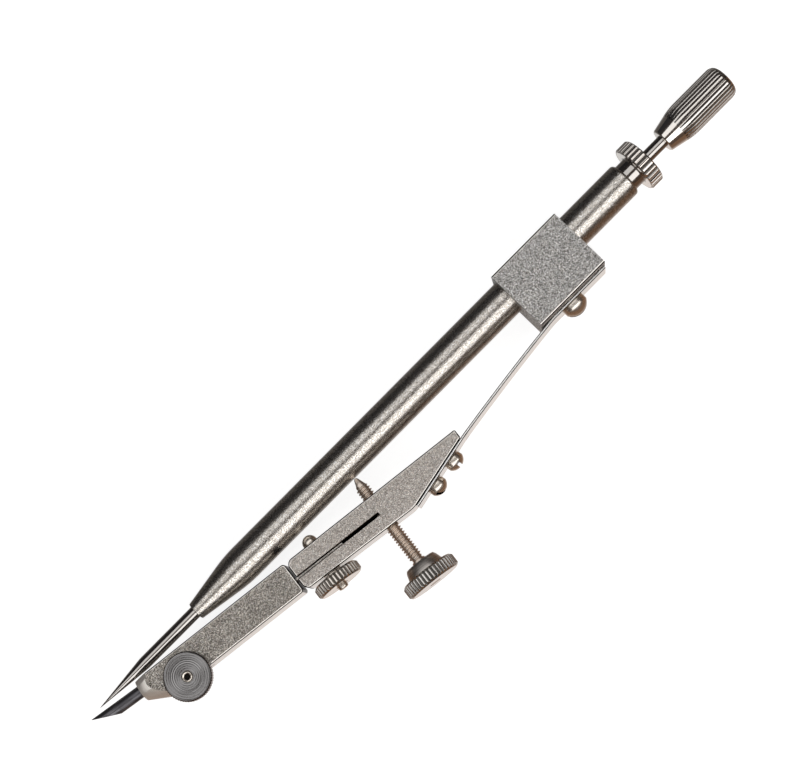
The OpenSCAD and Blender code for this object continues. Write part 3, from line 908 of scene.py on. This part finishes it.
def make_handle():
    """Finger handle: a smooth cone, then flutes up to a rounded top."""
    lip = 0.35
    blend = 1.2
    crown = (1.3, 0.8)
    flute_depth = 0.25
    bore_r = ROD_R + RUNNING_GAP
    flutes_start = HANDLE[0] + HANDLE_CONE
    outline = [(ROD_END, 0), (ROD_END, bore_r), (HANDLE[0], bore_r)]
    outline += arc((HANDLE[0] + lip, HANDLE_SMALL_R - lip), lip, 180, 100)
    small_end, large_end = (HANDLE[0] + lip, HANDLE_SMALL_R), (flutes_start, HANDLE_R)
    share = 1 - blend / (flutes_start - small_end[0])
    before = (flutes_start - blend, HANDLE_SMALL_R + (HANDLE_R - HANDLE_SMALL_R) * share)
    outline += straight(small_end, before, 16)
    outline += rounded(before, large_end, (flutes_start + blend, HANDLE_R), 16)[1:]
    outline += [
        (HANDLE[1] - crown[0] * (1 - math.sin(a)), HANDLE_R - crown[1] * (1 - math.cos(a)))
        for a in fan(0, 90, 14)
    ]
    outline += [(HANDLE[1], 0)]
    grip = fluted(
        outline, TUBE_AXIS, BRIGHT_HANDLE, HANDLE_FLUTES, HANDLE_R, flute_depth, sharpness=3.2, fineness=20
    )
    return piece("fluted_handle", "bright_nickel", "handle", grip)


# Block, leaf spring and screws

def slotted_screw(place, slot_turn, head_r, head_h, shank_r, shank_l):
    """Screw with a domed head and a slot across it, whose walls take painted shade. The head's underside is
    at the place.
    """
    dome_r = head_r * 1.12
    slot_half = 0.3
    slot_floor = head_h * 0.55
    rounding = 0.1
    dome = head_h - dome_r
    edge = math.degrees(math.acos(head_r / dome_r))
    outline = [(-shank_l, 0), (-shank_l, shank_r), (0, shank_r), (0, head_r - rounding), (rounding, head_r)]
    outline += [(dome + dome_r * math.sin(a), dome_r * math.cos(a)) for a in fan(edge, 90, 12)]
    turn = place @ Matrix.Rotation(math.radians(slot_turn), 4, "Z")

    def in_head(along, across, up):
        return turn @ (Vector((along, across, slot_floor + head_h + up)) * MM)

    slot = box_outline((-2 * head_r, -slot_half), (2 * head_r, slot_half))
    # The slot's walls take the near-black painted shade
    return carved(
        turned(outline, place, SCREW_NICKEL, steps=64),
        plate(slot, in_head, head_h, EDGE_SHADE),
    )


def make_block():
    """Square block on the tube, with rounded bright edges and edge lines of painted shade."""
    corner = 0.34
    fit = 0.01
    flat = 0.985
    (left, right), half = BLOCK_SIDES, BLOCK_HALF
    section = rounded_box((left, -half), (right, half), corner, 3)
    ends = [[bow(along, out, up) for out, up in section] for along in BLOCK]
    body = lofted(ends, BLASTED_BLOCK, POLISHED_EDGE)
    for face in body.polygons:
        face.material_index = int(EDGE_LINE[0] < abs(face.normal.z) < flat)
    body = lined(body)
    low, high = BLOCK[0] - RUN_PAST, BLOCK[1] + RUN_PAST
    hole = drill(low, high, TUBE_R + fit, TUBE_AXIS, POLISHED_EDGE, steps=128)
    return piece("block", "matte_nickel", "spring_block", carved(body, hole))


def make_block_screw():
    """Large domed screw that holds the strip on the block."""
    place = axis_at(bow(BLOCK_SCREW_AT, BLOCK_SIDES[1] + LEAF_T), OUTWARD)
    screw = slotted_screw(place, slot_turn=90, head_r=2.1, head_h=2.1, shank_r=1.0, shank_l=3.6)
    return piece("block_dome_screw", "screw_nickel", "block_screw", screw)


def make_leaf():
    """Flat strip from under the block screw, through slight bends and down the arm's seat."""
    edge = 0.2
    on_block = straight((LEAF_TOP, BLOCK_SIDES[1], 0), (LEAF_LIFT, BLOCK_SIDES[1], 0), 8)[:-1]
    curved = on_block + LEAF_STATIONS
    stations = [(bow(along, out), swung(OUTWARD, -slope)) for along, out, slope in curved]
    for distance, _ in straight((0, 0), (LEAF_REACH, 0), 26)[1:]:
        stations.append((LEAF_ROOT - ALONG_SEAT * distance * MM, OFF_SEAT))
    section = rounded_box((0, -LEAF_HALF_W), (LEAF_T, LEAF_HALF_W), edge, 4)
    rings = [[point + (normal * t + UP * w) * MM for t, w in section] for point, normal in stations]
    strip = lofted(rings, SPRING_STRIP, STRIP_EDGE)
    for face in strip.polygons:
        face.material_index = int(abs(face.normal.z) > EDGE_LINE[0])
    # The strip's rounded corners take painted shade
    return piece("leaf", "spring_steel", "leaf_spring", lined(strip), sharp=25)


def make_spring_screws():
    """Two small screws that hold the strip on the arm's seat."""
    slot_turns = {"spring_screw_lower": 50, "spring_screw_upper": 0}
    made = []
    for node, distance in SPRING_SCREWS.items():
        origin = SEAT_START + (ALONG_SEAT * distance + OFF_SEAT * (LEAF_T + FACE_GAP)) * MM
        place = axis_at(origin, OFF_SEAT)
        screw = slotted_screw(place, slot_turns[node], head_r=1.6, head_h=1.8, shank_r=0.75, shank_l=2.0)
        made.append(piece(node.replace("spring_screw", "strip_screw"), "screw_nickel", node, screw))
    return made


# Arm, clamp and adjusting screw

def make_arm():
    """Square arm with a sloped seat, rounded lower corners and a slit for the leg's tongue."""
    r = ARM_CORNER_R
    start, end = ARM
    low, high = ARM_SIDES
    slit_edge = 0.05
    blend = 0.8
    outline = arc((start + r, low + r), r, 180, 270, 10) + [(end, low), (end, seat_height(end))]
    before, after = SEAT_CORNER + blend, SEAT_CORNER - blend
    outline += rounded((before, seat_height(before)), (SEAT_CORNER, high), (after, arm_side(after)), 6)
    outline += arc((start + r, ARM_FOOT_OUT - r), r, 90, 180, 10)
    # The arm's lower end, in the gap by the leg, takes painted shade
    body = squared_bar(outline, SATIN_ARM, dark_end=-ALONG_ARM)
    slit = box_outline((start - RUN_PAST, SLIT_AT - SLIT_HALF), (SLIT_END, SLIT_AT + SLIT_HALF))
    # The slit's walls take painted shade
    body = carved(body, plate(slit, on_arm, ARM_HALF + RUN_PAST, SLIT_SHADE))
    body = edged(body, slit_edge, segments=1, angle=60)
    for along, radius in ((CLAMP_AT, CLAMP_SHANK_R), (SCREW_AT, SCREW_R)):
        hole_r = radius + RUNNING_GAP
        hole = drill(low - RUN_PAST, high + RUN_PAST, hole_r, across_arm(along), SATIN_ARM)
        body = carved(body, hole)
    return piece("square_arm", "matte_nickel", "arm", body)


def make_clamp_screw():
    """Screw with a bright round head that draws the arm's slit together."""
    head_r = 1.25
    head_l = 1.65
    neck_angle = 72
    end = 8.75
    chamfer = 0.3
    base = ARM_SIDES[0]
    outline = arc((base - head_l + head_r, 0), head_r, 180, neck_angle, 16)
    outline += [(base, CLAMP_SHANK_R), (end - chamfer, CLAMP_SHANK_R)]
    outline += arc((end - chamfer, CLAMP_SHANK_R - chamfer), chamfer, 90, 0, 6) + [(end, 0)]
    bolt = turned(outline, CLAMP_AXIS, SCREW_NICKEL, steps=64)
    return piece("clamp_bolt", "screw_nickel", "clamp_screw", bolt)


def make_clamp_nut():
    """Knurled nut on a short hub against the arm."""
    hub_r = 1.58
    hub_l = 0.35
    nut_l = 2.3
    base = arm_side(CLAMP_AT + hub_r) + FACE_GAP
    ends = (base + hub_l, base + nut_l)
    bevel = 0.4
    mouth = 0.25
    bore_r = CLAMP_SHANK_R + RUNNING_GAP
    foot = [(base, bore_r), (base, hub_r), (ends[0], hub_r)]
    outline = wheel(foot, ends, CLAMP_NUT_R, bevel, mouth)
    knurled = fluted(
        outline, CLAMP_AXIS, NUT_NICKEL, CLAMP_NUT_RIDGES, CLAMP_NUT_R, KNURL_DEPTH, KNURL_SHARPNESS
    )
    return piece("clamp_wheel", "knob_nickel", "clamp_nut", knurled)


def make_adjusting_screw():
    """Threaded spindle with a conical tip, a plain neck under the knob and a journal through it."""
    tip = [(-3.86, 0), (-3.8, 0.2), (-3.55, 0.38), (-2.2, SCREW_ROOT_R)]
    thread = (-2.4, 12.3)
    shoulder = 0.15
    hub_gap = 0.02
    chamfer = (0.1, 0.2)
    crest_half = 0.04
    foot_half = 0.24
    sunk = 0.04
    steps_per_turn = 28
    run_out = 1.2
    foot_r = SCREW_ROOT_R - sunk
    neck_end, end = KNOB_HUB[0] - hub_gap, KNOB_RIM[1]
    neck = [(thread[1], SCREW_ROOT_R), (thread[1] + shoulder, SCREW_R), (neck_end, SCREW_R)]
    journal = [(neck_end, JOURNAL_R), (end - chamfer[0], JOURNAL_R), (end, JOURNAL_R - chamfer[1]), (end, 0)]
    ridge = [(-foot_half, foot_r), (-crest_half, SCREW_R), (crest_half, SCREW_R), (foot_half, foot_r)]
    ridge = [(thread[0] + along, radius) for along, radius in ridge + ridge[:1]]
    turns = (thread[1] - thread[0]) / SCREW_PITCH
    wound = grown(THREAD, ridge, KNOB_AXIS, {
        "Steps": round(turns * steps_per_turn),
        "Turns": turns,
        "Pitch": SCREW_PITCH * MM,
        "Root": foot_r * MM,
        "Run Out": run_out,
        "Finish": SPINDLE_NICKEL,
    })
    spindle = turned(tip + neck + journal, KNOB_AXIS, SPINDLE_NICKEL, steps=64)
    return piece("adjusting_spindle", "screw_nickel", "adjusting_screw", spindle, wound)


def make_knob():
    """Knurled knob with a stepped hub towards the arm."""
    bevel = 0.4
    shoulder = 0.4
    hub_r = (2.6, 2.85, 3.25)
    mouth = 0.2
    overlap = 0.1
    bore_r = JOURNAL_R + RUNNING_GAP
    foot = KNOB_HUB[1] + overlap
    outline = [(KNOB_HUB[0], bore_r), (KNOB_HUB[0], hub_r[0]), (KNOB_HUB[0] + shoulder, hub_r[1])]
    outline += [(KNOB_HUB[1], hub_r[2]), (foot, hub_r[2]), (foot, bore_r), outline[0]]
    hub = turned(outline, KNOB_AXIS, DULL_HUB)
    outline = wheel([(KNOB_RIM[0], bore_r)], KNOB_RIM, KNOB_R, bevel, mouth)
    knurled = fluted(outline, KNOB_AXIS, KNOB_NICKEL, KNOB_RIDGES, KNOB_R, KNURL_DEPTH, KNURL_SHARPNESS)
    return piece("knob_wheel", "knob_nickel", "adjusting_knob", hub, knurled)


# Pencil leg, lead and its clamp

def leg_tongue():
    """Thin forked tongue that the arm's slit holds, on both sides of the clamp screw."""
    half_t, half_w = 0.15, 2.2
    fork_half = 1.0
    sunk = 0.5
    clearance = 0.25
    end = 46.0
    edge = 0.05
    root = LEG[1] - sunk
    fork = CLAMP_AT - CLAMP_SHANK_R - clearance
    outline = [(root, -half_w), (end, -half_w), (end, -fork_half), (fork, -fork_half)]
    outline += [(along, -up) for along, up in reversed(outline)]

    def in_slit(along, up, out):
        return on_arm(along, SLIT_AT + out, up)

    return edged(plate(outline, in_slit, half_t, SATIN_ARM, POLISHED_EDGE), edge, segments=2)


def make_leg():
    """Square leg turned to a round nose, with a clamp lug, a slit and a forked tongue."""
    start, end = LEG
    low, high = LEG_SIDES
    corner_r = 0.55
    lip = 0.12
    slit_half = 0.25
    slit_end = 18.5
    slit_rise = 4.0
    half_lug = math.degrees(math.asin((high - LUG[1]) / LUG_R))
    blank = start - RUN_PAST
    outline = [(blank, low)] + arc((end - corner_r, low + corner_r), corner_r, -90, 0)
    outline += arc((end - corner_r, high - corner_r), corner_r, 0, 90)
    outline += arc(LUG, LUG_R, half_lug, 180 - half_lug, 24) + [(blank, high)]
    # The leg's upper end, in the gap by the arm, takes painted shade
    body = squared_bar(outline, BLASTED_LEG, dark_end=ALONG_ARM)
    far = end - start + 2 * RUN_PAST
    nose = [(0, 0), (0, MOUTH_R - lip), (lip, MOUTH_R), (far, MOUTH_R + NOSE_FLARE * far), (far, 0)]
    body = carved(body, turned(nose, LEAD_AXIS, TURNED_NOSE, steps=128), "INTERSECT")
    bore = drill(-RUN_PAST, LEAD_BORE_END, LEAD_R + RUNNING_GAP, LEAD_AXIS, TURNED_NOSE)
    body = carved(body, bore)
    slit = box_outline((blank - RUN_PAST, MOUTH_OFFSET), (slit_end, high + slit_rise))
    body = carved(body, plate(slit, on_arm, slit_half, BLASTED_LEG))
    return piece("square_leg", "matte_nickel", "pencil_leg", body, leg_tongue())


def make_lead():
    """Round lead, sharpened on one side to a chisel point."""
    rounding = 0.12
    outline = [(LEAD[0], 0), (LEAD[0], LEAD_R), (LEAD[1] - rounding, LEAD_R), (LEAD[1], LEAD_R - rounding)]
    mesh = turned(outline + [(LEAD[1], 0)], LEAD_AXIS, GRAPHITE, steps=64)
    shape = bmesh.new()
    shape.from_mesh(mesh)
    bpy.data.meshes.remove(mesh)
    chisel = math.radians(LEAD_CHISEL)
    tip = LEAD_AXIS @ Vector((0, 0, LEAD[0] * MM)) + ACROSS_LEAD * (LEAD_EDGE - LEAD_R) * MM
    away = ACROSS_LEAD * math.cos(chisel) - ALONG_LEAD * math.sin(chisel)
    everything = shape.verts[:] + shape.edges[:] + shape.faces[:]
    bmesh.ops.bisect_plane(shape, geom=everything, plane_co=tip, plane_no=away, clear_outer=True)
    bmesh.ops.holes_fill(shape, edges=[edge for edge in shape.edges if edge.is_boundary])
    return piece("pencil_lead", "graphite", "lead", mesh_of(shape, GRAPHITE))


def make_lead_clamp_screw():
    """Screw through the lug, slotted below, with a hollow bright end above the disc and a dark plug of
    painted shade inside the hollow.
    """
    stands_out = 0.25
    sunk = 0.5
    hollow_r = 0.5
    hollow = 0.8
    rounding = 0.2
    r = DISC_SCREW_R
    stud, foot = DISC[1] + stands_out, sunk - ARM_HALF
    place = axis_at(on_arm(*LUG, -ARM_HALF), -UP)
    head = slotted_screw(place, slot_turn=60, head_r=1.8, head_h=1.4, shank_r=r, shank_l=2.0)
    stem = [(foot, 0), (foot, r)] + arc((stud - rounding, r - rounding), rounding, 90, 0, 6)
    stem += [(stud - rounding / 2, hollow_r), (stud - hollow, hollow_r), (stud - hollow - rounding, 0)]
    bolt = turned(stem, DISC_AXIS, SCREW_NICKEL, steps=64)
    # A near-black plug deep in the hollow is painted shade
    depths = (stud - hollow, stud - rounding)
    shade = [(depths[0], 0), (depths[0], hollow_r), (depths[1], hollow_r), (depths[1] - rounding, 0)]
    hole = turned(shade, DISC_AXIS, SLIT_SHADE, steps=64)
    return piece("lug_bolt", "screw_nickel", "lead_clamp_screw", head, bolt, hole)


def make_disc_nut():
    """Round disc nut, faced on the lathe in visible rings."""
    bevel = 0.25
    fine_knurl = 0.12
    ring_pitch = 0.34
    ring_depth = 0.03
    land = 0.05
    bore_r = DISC_SCREW_R + RUNNING_GAP
    low, high = DISC
    outline = [(low, bore_r)] + rim(DISC, DISC_R, bevel)
    for _, radius in straight((0, DISC_R - bevel - land), (0, bore_r), 64):
        wave = 0.5 - 0.5 * math.cos(2 * math.pi * radius / ring_pitch)
        outline.append((high - ring_depth * wave, radius))
    outline.append(outline[0])
    faced = fluted(outline, DISC_AXIS, DISC_STEEL, DISC_RIDGES, DISC_R, fine_knurl, fineness=8)
    return piece("lug_disc", "disc_steel", "lead_clamp_nut", faced)


# Every piece but the leaf rides on its own body; the leaf is baked in place
for body, made in {
    "sleeve": [make_tube(), make_collar(), make_block(), make_block_screw()],
    "rod": [make_needle_rod(), make_handle()],
    "arm": [make_arm(), make_clamp_screw(), *make_spring_screws()],
    "clamp_nut": [make_clamp_nut()],
    "adjusting_screw": [make_adjusting_screw()],
    "knob": [make_knob()],
    "leg": [make_leg(), make_lead_clamp_screw()],
    "lead": [make_lead()],
    "disc_nut": [make_disc_nut()],
}.items():
    for shown in made:
        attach(shown, body)

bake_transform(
    make_leaf(),
    "sleeve",
    "arm",
    start=tuple(bow(BLOCK[0], BLOCK_SIDES[1])),
    end=tuple(on_arm(ARM[1], seat_height(ARM[1]))),
)

for node, finish in {"guide_bush": GUIDE_BRASS, "stop_ring": RING_STEEL}.items():
    frame["nodes"][node].data.materials.clear()
    frame["nodes"][node].data.materials.append(finish)


# Floor, light and camera. The floor and the lights are in metres.

FLOOR_SIZE = 3.0

# How bright the floor looks to the camera and in the metal, and its colours. In the metal it is a painted
# reflection: darker, and brown on the arm's side
FLOOR_GLOW = 0.88
FLOOR_SHEEN = 0.72
SHEEN_FALL = 5.0
FLOOR_COLOUR = (0.4, 0.4, 0.4, 1.0)
FLOOR_BY_ARM = (0.26, 0.155, 0.095, 1.0)
FLOOR_BY_TUBE = (0.14, 0.13, 0.122, 1.0)


def make_floor():
    """White floor that keeps the bow's shadow. Metal shows it as a painted reflection, darker and brown on
    the arm's side.
    """
    half = FLOOR_SIZE / 2
    shape = bmesh.new()
    centre = (cad_low + cad_high) / 2
    corners = box_outline((-half, -half), (half, half))
    shape.faces.new([shape.verts.new((centre.x + x, centre.y + y, cad_low.z)) for x, y in corners])
    floor = stood(mesh_of(shape))
    floor.name = "floor"
    material = bpy.data.materials.new("pale_floor")
    graph = bare_graph(material)
    rays = graph.add("ShaderNodeLightPath").outputs
    seen = graph.calc("ADD", rays["Is Camera Ray"], rays["Is Transmission Ray"])
    glow = graph.calc("MULTIPLY", seen, FLOOR_GLOW)
    # Painted reflection: the floor's sheen in the metal fades towards grazing rays
    facing = graph.add("ShaderNodeLayerWeight", {"Blend": 0.5}).outputs["Facing"]
    upright = graph.calc("POWER", graph.calc("SUBTRACT", 1.0, facing), SHEEN_FALL)
    sheen = graph.calc("MULTIPLY", graph.calc("MULTIPLY", rays["Is Glossy Ray"], FLOOR_SHEEN), upright)
    glow = graph.calc("ADD", glow, sheen)
    # Painted reflection: the floor's colour in the metal, brown on the arm's side
    spot = graph.add("ShaderNodeTexCoord").outputs["Object"]
    across = graph.add("ShaderNodeSeparateXYZ", {0: spot}).outputs["Y"]
    by_tube = graph.calc("GREATER_THAN", across, bow(0).y)
    in_metal = graph.mixed(by_tube, FLOOR_BY_ARM, FLOOR_BY_TUBE)
    colour = graph.mixed(rays["Is Glossy Ray"], FLOOR_COLOUR, in_metal)
    lit = graph.add("ShaderNodeBsdfDiffuse", {"Color": colour})
    bright = graph.add("ShaderNodeEmission", {"Strength": glow})
    both = graph.add("ShaderNodeAddShader", {0: lit, 1: bright})
    graph.add("ShaderNodeOutputMaterial", {"Surface": both})
    floor.data.materials.append(material)


def make_softbox(name, lean, spread, radiance):
    """Long soft light beside the tube. Lean is its angle from straight above, towards the arm."""
    distance = 0.6
    length = 1.2
    width = 2 * distance * math.tan(math.radians(spread / 2))
    lamp = bpy.data.lights.new(name, "AREA")
    lamp.shape = "RECTANGLE"
    lamp.size = length
    lamp.size_y = width
    lamp.energy = radiance * math.pi * length * width
    softbox = stood(lamp)
    middle = bow((NOSE_START + TUBE_TOP) / 2)
    turn = Matrix.Rotation(math.radians(lean), 4, "X")
    softbox.matrix_world = Matrix.Translation(middle) @ turn @ Matrix.Translation((0, 0, distance))
    softbox.visible_camera = False


def make_world():
    """Dim room, warmer on the arm's side, white where the camera sees it."""
    warm = (0.095, 0.064, 0.046, 1.0)
    cool = (0.022, 0.022, 0.024, 1.0)
    world = bpy.data.worlds.new("room")
    bpy.context.scene.world = world
    graph = bare_graph(world)
    direction = graph.add("ShaderNodeTexCoord").outputs["Generated"]
    side = graph.add("ShaderNodeSeparateXYZ", {0: direction}).outputs["Y"]
    share = graph.calc("MULTIPLY_ADD", side, 0.5, 0.5, clamp=True)
    colour = graph.mixed(share, warm, cool)
    room = graph.add("ShaderNodeBackground", {"Color": colour})
    white = graph.add("ShaderNodeBackground", {"Color": (1.0, 1.0, 1.0, 1.0)})
    camera_ray = graph.add("ShaderNodeLightPath").outputs["Is Camera Ray"]
    shown = graph.add("ShaderNodeMixShader", {0: camera_ray, 1: room, 2: white})
    graph.add("ShaderNodeOutputWorld", {"Surface": shown})


# The camera's places are in millimetres from the needle point, and its scale in pixels to a millimetre
SCALE = 6.3247
IMAGE_WIDTH = 790
SENSOR_WIDTH = 36.0
CAMERA_FOOT = (61.19, 50.11)
CAMERA_HEIGHT = 303.42
AIM = (68.09, -2.36)
TUBE_RISE = 45.21


def make_camera():
    """Camera above the bow, with the tube rising to the upper right."""
    eye = bow(*CAMERA_FOOT, CAMERA_HEIGHT)
    aim = bow(*AIM)
    back = (eye - aim).normalized()
    along = (ALONG_TUBE - back * ALONG_TUBE.dot(back)).normalized()
    aside = back.cross(along)
    rise = math.radians(TUBE_RISE)
    right = along * math.cos(rise) - aside * math.sin(rise)
    above = along * math.sin(rise) + aside * math.cos(rise)
    data = bpy.data.cameras.new("camera")
    data.sensor_width = SENSOR_WIDTH
    data.lens = SCALE * (eye - aim).length / MM / IMAGE_WIDTH * SENSOR_WIDTH
    data.clip_start = 0.01
    camera = stood(data)
    camera.matrix_world = Matrix.Translation(eye) @ Matrix((right, above, back)).transposed().to_4x4()
    bpy.context.scene.camera = camera


make_floor()
make_softbox("arm_side_softbox", lean=40, spread=40, radiance=1.8)
make_softbox("tube_side_softbox", lean=-17, spread=35, radiance=1.05)
make_world()
make_camera()
bpy.context.scene.view_settings.view_transform = "Standard"
